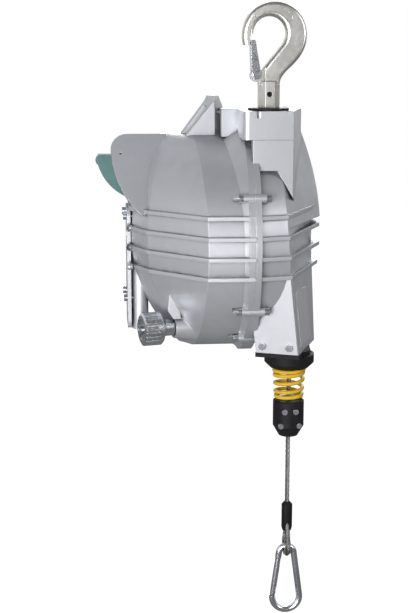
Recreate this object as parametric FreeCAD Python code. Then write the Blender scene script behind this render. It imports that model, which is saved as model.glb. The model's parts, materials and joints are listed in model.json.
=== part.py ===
"""Spring balancer for heavy hand tools, in millimetres.

A finned two-piece casting hangs from a swivel hook. Inside it a mainspring turns a conical
rope drum. The wire rope leaves through a guide at the bottom and ends in a spring hook.

Frame: X along the drum axis, the spring side at minus X and the rope drum at plus X.
Y across, the rope and the hook in the plane Y = 0, the drum behind them. Z up.
Origin: the saddle of the top hook, where the balancer hangs.
"""

import FreeCAD
import Part
import math
import os

V = FreeCAD.Vector
OX = V(1, 0, 0)
OY = V(0, 1, 0)
OZ = V(0, 0, 1)

# Rope and drum
ROPE_D = 5.0              # wire rope
ROPE_X = 25.5             # where the hanging rope is, along the drum
PITCH_R = 70.0            # drum axis to the middle of the hanging rope
AXIS_Z = -236.0           # height of the drum axis
DRUM_X0 = -9.0            # large end of the rope drum
DRUM_X1 = 30.6            # small end of the rope drum
DRUM_RIM_T = 2.4
DRUM_TAPER = 0.36         # radius lost for each millimetre along the drum
GROOVE_PITCH = 6.2
ROPE_LEAVES = 28.0        # the rope is clear of the drum this far below its axis
DRUM_RIM = 3.0            # how far the drum's rims stand over the rope
AXIS_Y = PITCH_R

# Casing
PART_X = -19.0            # parting plane of the two castings
BODY_R = 125.0            # half the depth of the casing at the parting plane
TOP_H = 114.0             # drum axis to the roof, spring side
DRUM_TOP_H = 118.0        # drum axis to the roof, rope side
LOW_H = 123.0             # drum axis to the underside
FLAT = 0.985              # the domes end flat at this share of their height
WALL = 4.0
FLANGE_R = 129.0
FLANGE_T = 6.5
CREASE_A_X = -67.0        # first crease of the spring side
CREASE_B_X = -127.0       # second crease of the spring side
CREASE_B_D = 62.0         # its depth in front of the drum axis
END_X = -143.0            # end wall of the spring side
END_D = 26.0
CORNER_X = 17.5           # corner of the rope side
CORNER_D = 115.0
SIDE_X = 57.0             # side wall of the rope side, at the fins
DOME_X = 67.0             # the same wall above the fins
SIDE_D = 16.0
STEP_Z = -215.0           # underside of the wider upper dome
FIN_Z = (-202.5, -223.5, -244.5, -265.5)
FIN_T = 4.2
FIN_OUT = 5.0
FIN_END = 9.0             # how far the fins stand out at the rope side's end
FIN_END_D = 7.6           # rounded ends of the fins at the spring side's end
FIN_END_L = 10.0
FIN_END_X = -145.5
BOLT_ANGLES = (25, -32, -54, 155, 212, 234)
BOLT_D = 5.0
BOLT_EDGE = 3.0           # the bolts' circle is this far inside the flanges' rim
BOLT_R = FLANGE_R - BOLT_EDGE
BOLT_HEAD_D = 8.6
BOSS_R = 4.8
BOSS_L = 12.0

POST_Z0 = -338.0          # end wall and its cover
POST_Z1 = -203.0
COVER_Y = (46.0, 104.0)
END_COVER_T = 4.0
COVER_SCREWS = ((52.0, -212.0), (98.0, -212.0), (52.0, -303.0), (98.0, -303.0))

# Recess for the load adjuster
GUARD_Y = 112.0
POCKET_X = -111.0
POCKET_Z = FIN_Z[0] + FIN_T / 2
WING_LEAN = 0.5           # the guard leans back this much for each millimetre up
WING_T = 4.0
WING_EDGE = ((-104.0, -206.0), (-104.0, -123.0), (-147.0, -123.0), (-160.5, -129.0),
             (-164.0, -143.0), (-155.0, -177.0), (-134.0, -206.0))
WING_FOOT = (10.0, -208.0)       # a point of its front face: Y and Z
WING_HOLE = (-153.9, -143.5)
WING_HOLE_D = 2.6

# Rib over the knob's boss
GUSSET = ((-100.5, -317.0), (-92.0, -317.0), (-103.0, -271.0), (-106.5, -308.0))
GUSSET_Y = -1.0
GUSSET_W = 26.0

# Ear for the safety chain
LUG_Y = (45.0, 60.0, 67.0)      # its front face, its widest section, its back face
LUG_FRONT = ((-87.5, -130.0), (-84.3, -126.5), (-55.0, -91.0), (-53.8, -89.2), (-52.6, -89.2),
             (-52.3, -95.0), (-52.0, -115.8), (-52.0, -130.0))
LUG_BACK = ((-94.0, -130.0), (-90.5, -127.0), (-61.6, -88.2), (-58.9, -82.7), (-46.8, -82.7),
            (-41.7, -95.2), (-36.5, -115.8), (-34.0, -130.0))
LUG_SLOT = (48.5, 56.5)
LUG_POCKET = ((-120.0, -93.0), (-60.0, -93.0), (-60.0, -106.0), (-74.0, -126.0), (-74.0, -131.0),
              (-120.0, -131.0))
LUG_HOLE_Z = -100.0

# Suspension
HOOK_T = 15.0             # thickness of the forging, front to back
BOSS_HALF = 5.5           # half the thickness of the latch boss
WAIST_X = (-22.0, -4.0)   # how far the boss's flats run, so that the latch can swing in
WAIST_Z = (-68.0, -50.0)
HOOK_ROUND = 4.0
HOOK_THROAT = (-7.5, -54.0)
HOOK_BACK = ((-26.8, -29.0), (-28.0, -17.0), (-19.0, 5.0), (5.7, 15.0), (29.5, 5.0),
             (38.8, -18.0), (35.5, -34.0), (26.0, -47.5), (16.0, -57.5), (11.8, -64.0))
BAND_AT = (1.6, -14.0)    # middle of the bare band round the ring
BAND_R = (18.6, 25.3)
BAND_A = (34.0, 134.0)
BAND_DEEP = 0.6
LATCH_X = -13.4
LATCH_Z = -59.5
LATCH_PIN_D = 5.0
LATCH_T = 1.6             # sheet of the latch
LATCH_ROOM = 0.4          # clearance of its cheeks beside the hook's boss
SHANK_D = 22.0
SHANK_TOP = -66.0
BLOCK_TOP = -95.5
BLOCK_Z = -125.0          # underside of the suspension block
BLOCK_X0 = -29.0
BLOCK_X1 = 23.0
BLOCK_Y0 = -25.0
BLOCK_SIDE = ((42.0, 45.0), (42.0, 80.0))      # its right side, running back along the casing
BLOCK_LEFT = ((-46.0, 80.0), (-46.0, 30.0))    # and its left side, beside the lug
PAD_EDGE = ((42.0, -210.0), (24.9, -187.8), (6.7, -156.7))   # lower edge of the face under it
CHAIN_NOTCH = (47.5, 57.5, -31.0)   # open notch beside the lug: from, to, and how far in
BLOCK_ROOF = 14.0
BLOCK_SCREWS = ((17.0, -19.0), (-14.0, -19.5), (28.0, 36.0), (28.0, 68.0))
BLOCK_SCREW_D = 6.0
BLOCK_SCREW_L = 45.0
SWIVEL_GAP = 0.1
WASHER_D = 43.0
WASHER_T = 2.4
WASHER_TOP = BLOCK_TOP + SWIVEL_GAP + WASHER_T
BEARING_D = 38.0
BEARING_T = 10.0
NUT_AF = 30.0
NUT_T = 16.0
STEM_D = 18.0             # threaded end of the hook
STEM_Z = -137.5
NUT_PIN_D = 4.0
NUT_PIN_Z = -128.0
WELL_D = 40.0             # room for the bearing and the nut
WELL_Z = -142.0

# Rope outlet
BOX_TURN = 22.0           # the outlet box is turned about Z
BOX_TOP = V(17.5, -44.0, -240.0)
BOX_RISE = 7.0            # the box ends this far over the casing's underside
BOX_LOW = V(31.0, -33.0, AXIS_Z - LOW_H + BOX_RISE)
BOX_W = 47.5
BOX_TOP_DEPTH = 104.0
BOX_LOW_DEPTH = 76.0
COVER_T = 3.0
COVER_TOP_Z = -268.0
COVER_KNEE_Z = BOX_LOW.z + 30.0
PLATE_Z = (BOX_LOW.z + 7.0, BOX_LOW.z + 66.0)   # bare plate on its side
PLATE_T = 0.6
GUIDE_PLATE = 50.0
GUIDE_T = 5.0
GUIDE_D = 54.0
GUIDE_L = 20.0
GUIDE_Z = BOX_LOW.z - GUIDE_L
GUIDE_BORE = 9.0
GUIDE_STOP_Z = BOX_LOW.z - 10.0   # where the rope that pays out begins
NECK_D = 22.0

# Load line
SPRING_D = 37.0           # buffer spring, at its top
SPRING_LOW_D = 32.0
SPRING_WIRE = 4.2
SPRING_TURNS = 5
SPRING_L = 37.0
CLAMP_TOP = GUIDE_Z - SPRING_L
CLAMP_L = 40.5
CLAMP_Z = CLAMP_TOP - CLAMP_L
CLAMP_D = 34.0
CLAMP_GAP = 1.2
CLAMP_SCREWS = ((-6.0, 11.0), (6.0, 11.0), (-10.0, 27.5), (10.0, 27.5))   # below its top
SLEEVE_D = 12.0
SLEEVE_TOP = -528.0
SLEEVE_Z = -561.0
EYE_R = 6.5               # inside of the thimble
EYE_Z = -579.5            # middle of the thimble's eye
THIMBLE_T = 1.2
THIMBLE_W = 6.8
CARABINER_Z = -661.0      # lowest point
CARABINER_D = 7.0
CARABINER_W = 38.0
CARABINER_TOP_R = 8.3
HOOK_REST = 1.8           # the bow rides this far over the thimble's lowest point
NOSE_L = 7.0
TONGUE = 2.6
GATE_D = 6.4
GATE_PIN_D = 2.0
FORK_GAP = 0.3            # clearance of the gate's forks beside the nose and the tongue

# Spring and load adjuster
SHAFT_D = 20.0
BEARING_OD = 42.0
BEARING_W = 12.0
CAN_R = 95.0              # the can round the mainspring
CAN_X0 = -84.0
CAN_X1 = -34.0
CAN_WALL = 3.0
DISC_R = 106.0            # notched disc that the locking pin enters
DISC_T = 6.0
NOTCHES = 16
NOTCH_W = 14.0
NOTCH_R = 95.0
STRIP_T = 2.4
STRIP_TURNS = 8
ARBOR_D = 46.0
STRIP_PITCH = (CAN_R - CAN_WALL - ARBOR_D / 2 - STRIP_T - 0.6) / STRIP_TURNS
JOURNAL_D = 30.0
BUSH_D = 38.0
HUB_D = 36.0
RIGHT_BEARING_X = 40.0
WHEEL_TEETH = 26
WHEEL_M = 3.0
WHEEL_R = WHEEL_TEETH * WHEEL_M / 2 + WHEEL_M
WHEEL_X = -123.0
WHEEL_W = 11.0
WORM_R = 9.0
WORM_PLAY = 0.3           # between the thread and the bottom of the wheel's teeth
WORM_L = 40.0
WORM_START = 90.0
HEX_AF = 10.0             # hexagon end of the worm, across its flats

# Locking knob
KNOB = V(-135.0, 0.0, -328.0)
KNOB_TOE = 15.0           # the knob points this much towards the front
KNOB_D = 36.0
KNOB_W = 20.0
KNOB_DISH = 0.8           # the end's middle is sunk this deep
KNOB_DISH_D = 22.0
PIN_D = 9.0
PIN_TRAVEL = 8.0          # the pin moves in this far to lock the drum
KNOB_NECK = 35.0          # length of the knob with its neck
NECK_R = 9.0
KNOB_GAP = 0.3            # clearance of the neck in its boss
STUD_D = 6.0              # thinner end of the pin, inside the knob
STUD_X = 14.0
PIN_TIP = 101.0
LOCK_ANGLE = -65.4        # where the pin meets the disc

RUN = 0.05                # running clearance on a radius

os.makedirs("parts", exist_ok=True)


def save(name, *solids):
    """One named sub-part, as one solid or a group of like solids."""
    flat = []
    for s in solids:
        flat += s.Solids
    shape = flat[0] if len(flat) == 1 else Part.makeCompound(flat)
    bad = [s for s in flat if not s.isValid() or s.Volume <= 0]
    print(name, len(flat), round(shape.Volume), "BAD" if bad else "")
    shape.exportStep("parts/" + name + ".step")


def rod(p, axis, d, length):
    return Part.makeCylinder(d / 2, length, p, axis)


def tube(p, axis, d, bore, length):
    return rod(p, axis, d, length).cut(rod(p - axis * 1, axis, bore, length + 2))


def box(x0, x1, y0, y1, z0, z1):
    return Part.makeBox(x1 - x0, y1 - y0, z1 - z0, V(x0, y0, z0))


def prism(points, move):
    wire = Part.makePolygon(points + points[:1])
    return Part.Face(wire).extrude(move)


def hexagon(p, axis, flats, length):
    """Six-sided bar along Y or Z, by its width across the flats."""
    side = OZ if abs(axis.z) < 0.5 else OY
    r = flats / math.sqrt(3)
    points = []
    for i in range(6):
        a = math.radians(60 * i)
        points.append(p + OX * (r * math.cos(a)) + side * (r * math.sin(a)))
    return prism(points, axis * length)


def spin(profile, centre, axis):
    """A solid of revolution. The profile's points are (along the axis, radius)."""
    side = OZ if abs(axis.z) < 0.5 else OX
    points = [centre + axis * a + side * r for a, r in profile]
    face = Part.Face(Part.makePolygon(points + points[:1]))
    return face.revolve(centre, axis, 360)


def on_axis(x):
    return V(x, AXIS_Y, AXIS_Z)


def around(angle, r, x):
    """A point round the drum axis. Angle 0 is the front, 90 the top."""
    a = math.radians(angle)
    return V(x, AXIS_Y - r * math.cos(a), AXIS_Z + r * math.sin(a))


# Casing sections

def bulge(w, high, low):
    h = high if w > 0 else low
    return math.sqrt(max(1 - (w / h) ** 2, 0.0001))


def spring_corners(z, inset):
    """Corners of the spring side's section at one height, from the parting plane to the end."""
    w = z - AXIS_Z
    c = bulge(w, TOP_H - inset, LOW_H - inset)
    sweep = 0.0017 if w > 0 else 0.0029
    return [
        (PART_X + 2, (BODY_R - inset) * c),
        (CREASE_A_X - 0.0007 * w * w + inset * 0.5, (BODY_R - 2 - inset) * c),
        (CREASE_B_X + sweep * w * w + inset, (CREASE_B_D - inset * 0.6) * c),
        (END_X + 1.25 * sweep * w * w + inset, (END_D - inset * 0.6) * c),
    ]


def rope_corners(z, inset, upper):
    """Corners of the rope side's section at one height."""
    w = z - AXIS_Z
    c = bulge(w, DRUM_TOP_H - inset, LOW_H - inset)
    side = DOME_X - 0.0017 * w * w if upper else SIDE_X - 0.0022 * w * w
    return [
        (PART_X - 2, (BODY_R - inset) * c),
        (CORNER_X - 0.07 * w - inset * 0.6, (CORNER_D - inset) * c),
        (side - inset, (SIDE_D - inset * 0.2) * max(c, 0.5)),
    ]


def section(corners, z):
    near = [V(x, AXIS_Y - d, z) for x, d in corners]
    far = [V(x, AXIS_Y + d, z) for x, d in reversed(corners)]
    return Part.makePolygon(near + far + near[:1])


def heights(low, high, count):
    """Heights that lie closer together towards the ends."""
    mid, half = (low + high) / 2, (high - low) / 2
    return [mid - half * math.cos(math.pi * i / (count - 1)) for i in range(count)]


def spring_form(inset):
    zs = heights(AXIS_Z - LOW_H * FLAT + inset, AXIS_Z + TOP_H * FLAT - inset, 9)
    body = Part.makeLoft([section(spring_corners(z, inset), z) for z in zs], True)
    return body.common(box(-300, PART_X + (1 if inset else 0), -200, 300, -500, 0))


def rope_form(inset):
    keep = box(PART_X - (1 if inset else 0), 300, -200, 300, -500, 0)
    low = heights(AXIS_Z - LOW_H * FLAT + inset, STEP_Z + inset, 6)
    high = heights(STEP_Z + inset, AXIS_Z + DRUM_TOP_H * FLAT - inset, 6)
    lower = Part.makeLoft([section(rope_corners(z, inset, False), z) for z in low], True)
    upper = Part.makeLoft([section(rope_corners(z, inset, True), z) for z in high], True)
    return lower.fuse(upper).common(keep)


def fin(z, side):
    """One cooling fin: a plate that follows the casing and stands out most at its end."""
    if side == "spring":
        c = spring_corners(z, 0)
        grow = [(0, FIN_OUT), (0, FIN_OUT), (-2, FIN_OUT), (-5, 2)]
        keep = box(-300, PART_X, -200, 300, -500, 0)
    else:
        c = rope_corners(z, 0, False)
        grow = [(0, FIN_OUT), (1, FIN_OUT), (FIN_END, 2)]
        keep = box(PART_X, 300, -200, 300, -500, 0)
    pts = [(x + gx, d + gd) for (x, d), (gx, gd) in zip(c, grow)]
    plate = Part.Face(section(pts, z - FIN_T / 2)).extrude(V(0, 0, FIN_T))
    return plate.common(keep)


def fin_ends():
    """Rounded ends of the lower fins, in front of the end cover."""
    y1 = COVER_Y[0] - 0.5
    ends = []
    for z in FIN_Z[1:]:
        ends.append(rod(V(FIN_END_X, y1 - FIN_END_L, z), OY, FIN_END_D, FIN_END_L))
        ends.append(Part.makeSphere(FIN_END_D / 2, V(FIN_END_X, y1 - FIN_END_L, z)))
    return ends


def bolt_bosses(x0, x1):
    return [rod(around(a, BOLT_R, x0), OX, BOSS_R * 2, x1 - x0) for a in BOLT_ANGLES]


def bolt_holes(x0, x1, d=BOLT_D + 0.6):
    return [rod(around(a, BOLT_R, x0), OX, d, x1 - x0) for a in BOLT_ANGLES]


def wing():
    """Flat guard that carries the front of the spring side on beyond its crease."""
    p = [V(x, wing_y(z), z) for x, z in WING_EDGE]
    edges = [
        Part.makeLine(p[0], p[1]),
        Part.makeLine(p[1], p[2]),
        Part.Arc(p[2], p[3], p[4]).toShape(),
        Part.Arc(p[4], p[5], p[6]).toShape(),
        Part.makeLine(p[6], p[0]),
    ]
    face = Part.Face(Part.Wire(edges))
    n = V(0, 1, -WING_LEAN).normalize()
    at = V(WING_HOLE[0], wing_y(WING_HOLE[1]), WING_HOLE[1])
    return face.extrude(n * WING_T).cut(rod(at - n, n, WING_HOLE_D, WING_T + 2))


def wing_y(z):
    y, foot = WING_FOOT
    return y + (z - foot) * WING_LEAN


def pocket(grow):
    """The open space behind the guard, left of the dome. It grows by a wall's thickness."""
    low, high = POCKET_Z - grow, -60.0
    y0 = WING_T * 1.05 - grow
    points = [V(-200, wing_y(low) + y0, low), V(-200, wing_y(high) + y0, high),
              V(-200, 250, high), V(-200, 250, low)]
    return prism(points, V(200 + POCKET_X + grow, 0, 0))


def lug():
    """Ear for the safety chain: a pocket open to the left, with the hole along X in its end."""
    y0, y1, y2 = LUG_Y
    front = Part.makePolygon([V(x, y0, z) for x, z in LUG_FRONT + LUG_FRONT[:1]])
    back = Part.makePolygon([V(x, y1, z) for x, z in LUG_BACK + LUG_BACK[:1]])
    body = Part.makeLoft([front, back], True, True)
    body = body.fuse(prism([V(x, y1, z) for x, z in LUG_BACK], V(0, y2 - y1, 0)))
    y = (LUG_SLOT[0] + LUG_SLOT[1]) / 2
    pocket = prism([V(x, LUG_SLOT[0], z) for x, z in LUG_POCKET],
                   V(0, LUG_SLOT[1] - LUG_SLOT[0], 0))
    return body.cut([pocket, rod(V(-80, y, LUG_HOLE_Z), OX, LUG_SLOT[1] - LUG_SLOT[0], 60)])


def knob_axis():
    t = math.radians(KNOB_TOE)
    return V(math.cos(t), math.sin(t), 0)


def neck():
    """Cone that brings the spring side up to its flange."""
    return Part.makeCone(FLANGE_R - 2, FLANGE_R - 20, 28, on_axis(PART_X - FLANGE_T), -OX)


def spring_casing():
    flange = rod(on_axis(PART_X - FLANGE_T), OX, FLANGE_R * 2, FLANGE_T)
    body = spring_form(0).cut(pocket(0))
    body = body.multiFuse([neck(), flange] + [fin(z, "spring") for z in FIN_Z])
    body = body.multiFuse(bolt_bosses(PART_X - BOSS_L, PART_X))
    post = rod(V(END_X + 9, AXIS_Y - 16, POST_Z0), OZ, 18, POST_Z1 - POST_Z0)
    plate = box(END_X - 1, END_X + 9, AXIS_Y - 16, AXIS_Y + 34, POST_Z0, POST_Z1)
    body = body.multiFuse([post, plate] + fin_ends())
    inner = spring_form(WALL).cut(pocket(WALL))
    barrel = rod(on_axis(PART_X - 34), OX, 2 * (TOP_H - WALL - 1), 35)
    body = body.cut(inner.fuse(barrel))
    into = knob_axis()
    boss = Part.makeCone(NECK_R + 3, NECK_R + 8, 24, along_knob(KNOB_NECK + 1), into)
    boss = boss.cut(inner)
    gusset = prism([V(x, GUSSET_Y, z) for x, z in GUSSET], V(0, GUSSET_W, 0))
    body = body.multiFuse([boss, gusset.cut(inner), wing(), lug()])
    neck_room = rod(along_knob(KNOB_NECK), into, 2 * (NECK_R + KNOB_GAP), PIN_TRAVEL + 1)
    body = body.cut([neck_room, rod(along_knob(30), into, PIN_D + 2 * RUN, 60)])
    wheel_room = rod(on_axis(WHEEL_X - WHEEL_W / 2 - 2), OX, 2 * WHEEL_R + 10, WHEEL_W + 4)
    bush_seat = rod(on_axis(END_X - 10), OX, BUSH_D, 20)
    seats = bolt_holes(PART_X - BOSS_L - 10, PART_X - BOSS_L, BOLT_HEAD_D + 0.6)
    cover_seat = box(END_X - 12, END_X - 1, COVER_Y[0] - 0.5, 140, POST_Z0, POST_Z1)
    seats += [rod(V(END_X - 5, y, z), OX, 5.0, 9) for y, z in COVER_SCREWS]
    body = body.cut([wheel_room, bush_seat, cover_seat] + seats)
    return body.cut(bolt_holes(PART_X - BOSS_L - 1, PART_X + 1))


def rope_casing():
    flange = rod(on_axis(PART_X), OX, FLANGE_R * 2, FLANGE_T)
    body = rope_form(0).multiFuse([flange] + [fin(z, "rope") for z in FIN_Z])
    foot = [(PART_X, BLOCK_Y0), (BLOCK_X1, BLOCK_Y0), *BLOCK_SIDE, (PART_X, BLOCK_SIDE[1][1])]
    pad = prism([V(x, y, BLOCK_Z) for x, y in foot], V(0, 0, -90))
    face = [(PART_X - 5, BLOCK_Z), (100, BLOCK_Z), (100, PAD_EDGE[0][1]), *PAD_EDGE,
            (PART_X - 5, PAD_EDGE[-1][1])]
    pad = pad.common(prism([V(x, BLOCK_Y0 - 5, z) for x, z in face], V(0, 200, 0)))
    body = body.multiFuse([pad, outlet_form(0)])
    body = body.multiFuse(bolt_bosses(PART_X, PART_X + BOSS_L))
    inner = rope_form(WALL).fuse(rod(on_axis(PART_X - 1), OX, 2 * (TOP_H - WALL - 1), 20))
    well = rod(V(0, 0, WELL_Z), OZ, WELL_D, BLOCK_TOP - WELL_Z)
    guide_hole = rod(V(ROPE_X, 0, BOX_LOW.z - 1), OZ, NECK_D + 2 * RUN, WALL + 4)
    drum_r = rope_radius(DRUM_X1) + DRUM_RIM + 1.2
    drum_room = rod(on_axis(PART_X), OX, 2 * drum_r, DRUM_X1 + 1 - PART_X)
    body = body.cut([inner, outlet_form(WALL), well, guide_hole, drum_room])
    body = max(body.Solids, key=lambda q: q.Volume)
    cup = rod(on_axis(RIGHT_BEARING_X), OX, BEARING_OD + 10, SIDE_X - 2 - RIGHT_BEARING_X)
    body = body.fuse(cup).cut(rod(on_axis(RIGHT_BEARING_X - 1), OX, BEARING_OD, BEARING_W + 1))
    seats = bolt_holes(PART_X + BOSS_L, PART_X + BOSS_L + 10, BOLT_HEAD_D + 0.6)
    body = body.cut(seats + bolt_holes(PART_X - 1, PART_X + BOSS_L + 1))
    return body.cut(block_screw_holes())


def outlet_axes():
    t = math.radians(BOX_TURN)
    return V(-math.cos(t), math.sin(t), 0), V(math.sin(t), math.cos(t), 0)


def outlet_point(along, back, z):
    """A point of the outlet box: along its front face from the right, and back from it."""
    f, g = outlet_axes()
    share = (z - BOX_TOP.z) / (BOX_LOW.z - BOX_TOP.z)
    corner = BOX_TOP + (BOX_LOW - BOX_TOP) * share
    p = corner + f * along + g * back
    return V(p.x, p.y, z)


def outlet_form(inset):
    """Box under the casing that the rope comes down through. It widens downwards."""
    loops = []
    for z, depth in ((BOX_TOP.z, BOX_TOP_DEPTH), (BOX_LOW.z + inset, BOX_LOW_DEPTH)):
        a, b = inset, BOX_W - inset
        c, d = inset, depth - inset
        pts = [outlet_point(*q, z) for q in ((a, c), (b, c), (b, d), (a, d))]
        loops.append(Part.makePolygon(pts + pts[:1]))
    return Part.makeLoft(loops, True, True)


def outlet_cover(right):
    """Plate on the front of the outlet box, with two screw holes."""
    top, knee = COVER_TOP_Z, COVER_KNEE_Z
    low = BOX_LOW.z + 1
    pts = [outlet_point(0.6, 0, top), outlet_point(11, 0, top), outlet_point(BOX_W - 1, 0, knee),
           outlet_point(BOX_W - 1, 0, low), outlet_point(0.6, 0, low)]
    n = (pts[4] - pts[0]).cross(pts[3] - pts[4]).normalize()
    n = n if n.y < 0 else n * -1
    plate = prism(pts, n * COVER_T)
    screws = []
    for along in (9.0, BOX_W - 9.0):
        p = outlet_point(along, 0, BOX_LOW.z + 9)
        plate = plate.cut(rod(p - n, n, 4.4, 6))
        head = rod(p + n * COVER_T, n, 8.0, 2.4)
        screws.append(head.fuse(rod(p, n, 4.2, COVER_T)))
    plate = max(plate.cut(right).Solids, key=lambda q: q.Volume)
    return plate, screws


def suspension_block():
    """Block that the hook swivels in. It sits across both castings."""
    z0, h = BLOCK_Z, BLOCK_TOP - BLOCK_Z
    outline = [(BLOCK_X0, BLOCK_Y0), (BLOCK_X1, BLOCK_Y0), *BLOCK_SIDE, *BLOCK_LEFT,
               (BLOCK_X0, BLOCK_LEFT[1][1])]
    front = prism([V(x, y, z0) for x, y in outline], V(0, 0, h))
    edge = [e for e in front.Edges
            if abs(e.Vertexes[0].X - BLOCK_X0) < 0.1 and abs(e.Vertexes[-1].X - BLOCK_X0) < 0.1
            and abs(e.Vertexes[0].Y - BLOCK_Y0) < 0.1 and abs(e.Vertexes[-1].Y - BLOCK_Y0) < 0.1]
    body = front.makeFillet(6, edge)
    flanges = rod(on_axis(PART_X - FLANGE_T), OX, FLANGE_R * 2, 2 * FLANGE_T)
    body = body.cut([spring_form(0), rope_form(0), neck(), flanges, lug()])
    bore = rod(V(0, 0, BLOCK_TOP - 50), OZ, STEM_D + 2 * RUN, 60)
    well = rod(V(0, 0, BLOCK_Z - 1), OZ, WELL_D, BLOCK_TOP - BLOCK_ROOF - BLOCK_Z + 1)
    y0, y1, x1 = CHAIN_NOTCH
    notch = box(BLOCK_LEFT[0][0] - 1, x1, y0, y1, BLOCK_Z, BLOCK_TOP + 1)
    body = body.cut([bore, well, notch] + block_screw_holes())
    return max(body.Solids, key=lambda q: q.Volume)


def block_screw_holes():
    holes = []
    for x, y in BLOCK_SCREWS:
        holes.append(rod(V(x, y, BLOCK_TOP - BLOCK_SCREW_L - 5), OZ, BLOCK_SCREW_D, 60))
        holes.append(rod(V(x, y, BLOCK_TOP - 7), OZ, 11.0, 8))
    return holes


def block_screws():
    made = []
    for x, y in BLOCK_SCREWS:
        shank = rod(V(x, y, BLOCK_TOP - BLOCK_SCREW_L), OZ, BLOCK_SCREW_D, BLOCK_SCREW_L - 5)
        head = rod(V(x, y, BLOCK_TOP - 7), OZ, 10.0, 6)
        socket = hexagon(V(x, y, BLOCK_TOP - 4), OZ, 5.0, 5)
        made.append(shank.fuse(head).cut(socket))
    return made


def flange_bolts():
    made = []
    for a in BOLT_ANGLES:
        x0 = PART_X - BOSS_L
        shank = rod(around(a, BOLT_R, x0), OX, BOLT_D, 2 * BOSS_L)
        head = rod(around(a, BOLT_R, x0), -OX, BOLT_HEAD_D, 5.0)
        nut = rod(around(a, BOLT_R, x0 + 2 * BOSS_L), OX, BOLT_HEAD_D, 5.0)
        made.append(shank.multiFuse([head, nut]))
    return made


# Top hook

def arc(a, b, c):
    return Part.Arc(a, b, c).toShape()


def flat(x, z):
    return V(x, -HOOK_T / 2, z)


def hook():
    """Forged swivel hook with its shank. It opens to the left, under the latch."""
    s = SHANK_D / 2
    low = SHANK_TOP - 4
    back = Part.BSplineCurve()
    back.interpolate([flat(*q) for q in HOOK_BACK] + [flat(s, low)])
    edges = [
        Part.makeLine(flat(-s, low), flat(-s, SHANK_TOP)),
        arc(flat(-s, SHANK_TOP), flat(-19.6, -60.5), flat(-14, -53.6)),
        Part.makeLine(flat(-14, -53.6), flat(*HOOK_THROAT)),
        Part.makeLine(flat(*HOOK_THROAT), flat(13.4, -28)),
        arc(flat(13.4, -28), flat(0, 0), flat(-17, -17)),
        Part.makeLine(flat(-17, -17), flat(-20.6, -20)),
        Part.makeLine(flat(-20.6, -20), flat(-20.8, HOOK_BACK[0][1])),
        Part.makeLine(flat(-20.8, HOOK_BACK[0][1]), flat(*HOOK_BACK[0])),
        back.toShape(),
        Part.makeLine(flat(s, low), flat(-s, low)),
    ]
    body = Part.Face(Part.Wire(edges)).extrude(V(0, HOOK_T, 0))

    def rounded(b):
        return (b.YLength < 0.01 and abs(abs(b.YMin) - HOOK_T / 2) < 0.01
                and (b.XLength > 40 or (b.ZLength > 20 and b.ZMax > -29)))

    body = body.makeFillet(HOOK_ROUND, [e for e in body.Edges if rounded(e.BoundBox)])
    body = body.cut([box(*WAIST_X, -HOOK_T, -BOSS_HALF, *WAIST_Z),
                     box(*WAIST_X, BOSS_HALF, HOOK_T, *WAIST_Z)])
    body = body.cut(hook_band())
    shank = prism([V(s * math.cos(math.radians(22.5 + 45 * i)) / math.cos(math.radians(22.5)),
                     s * math.sin(math.radians(22.5 + 45 * i)) / math.cos(math.radians(22.5)),
                     WASHER_TOP) for i in range(8)], V(0, 0, SHANK_TOP - WASHER_TOP))
    stem = rod(V(0, 0, STEM_Z), OZ, STEM_D, SHANK_TOP - 20 - STEM_Z)
    body = body.multiFuse([shank, stem])
    return body.cut([rod(V(-0.5, -30, -79), OY, 5.5, 60),
                     rod(V(LATCH_X, -30, LATCH_Z), OY, LATCH_PIN_D, 60),
                     rod(V(0, -30, NUT_PIN_Z), OY, NUT_PIN_D, 60)])


def hook_band():
    """Shallow bare band round the top of the ring, with rounded ends."""
    def at(r, a):
        return flat(BAND_AT[0] + r * math.cos(math.radians(a)),
                    BAND_AT[1] + r * math.sin(math.radians(a)))

    (r0, r1), (a0, a1) = BAND_R, BAND_A
    mid, over = (r0 + r1) / 2, math.degrees((r1 - r0) / (r0 + r1))
    edges = [arc(at(r1, a0), at(r1, (a0 + a1) / 2), at(r1, a1)),
             arc(at(r1, a1), at(mid, a1 + over), at(r0, a1)),
             arc(at(r0, a1), at(r0, (a0 + a1) / 2), at(r0, a0)),
             arc(at(r0, a0), at(mid, a0 - over), at(r1, a0))]
    return Part.Face(Part.Wire(edges)).extrude(V(0, BAND_DEEP, 0))


def latch():
    """Sheet latch: two cheeks over the hook and a web between them, narrower at its tip."""
    half = BOSS_HALF + LATCH_ROOM + LATCH_T
    outline = [(-20.0, -24.0), (-15.0, -24.0), (-9.0, -57.0), (-10.6, -63.2), (-15.6, -64.2),
               (-18.4, -60.0)]
    body = prism([V(x, -half, z) for x, z in outline], V(0, 2 * half, 0))
    room = [(-17.7, -26.5), (-5.0, -26.5), (-5.0, -70.0), (-20.0, -70.0), (-20.0, -54.0),
            (-16.9, -54.0)]
    inside = half - LATCH_T
    body = body.cut(prism([V(x, -inside, z) for x, z in room], V(0, 2 * inside, 0)))
    return body.cut(rod(V(LATCH_X, -30, LATCH_Z), OY, LATCH_PIN_D + 2 * RUN, 60))


def latch_pin():
    half = BOSS_HALF + LATCH_ROOM + LATCH_T + 0.2
    p = V(LATCH_X, -half, LATCH_Z)
    heads = [rod(p, -OY, 8.0, 1.6), rod(p + OY * 2 * half, OY, 8.0, 1.6)]
    return rod(p, OY, LATCH_PIN_D, 2 * half).multiFuse(heads)


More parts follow.
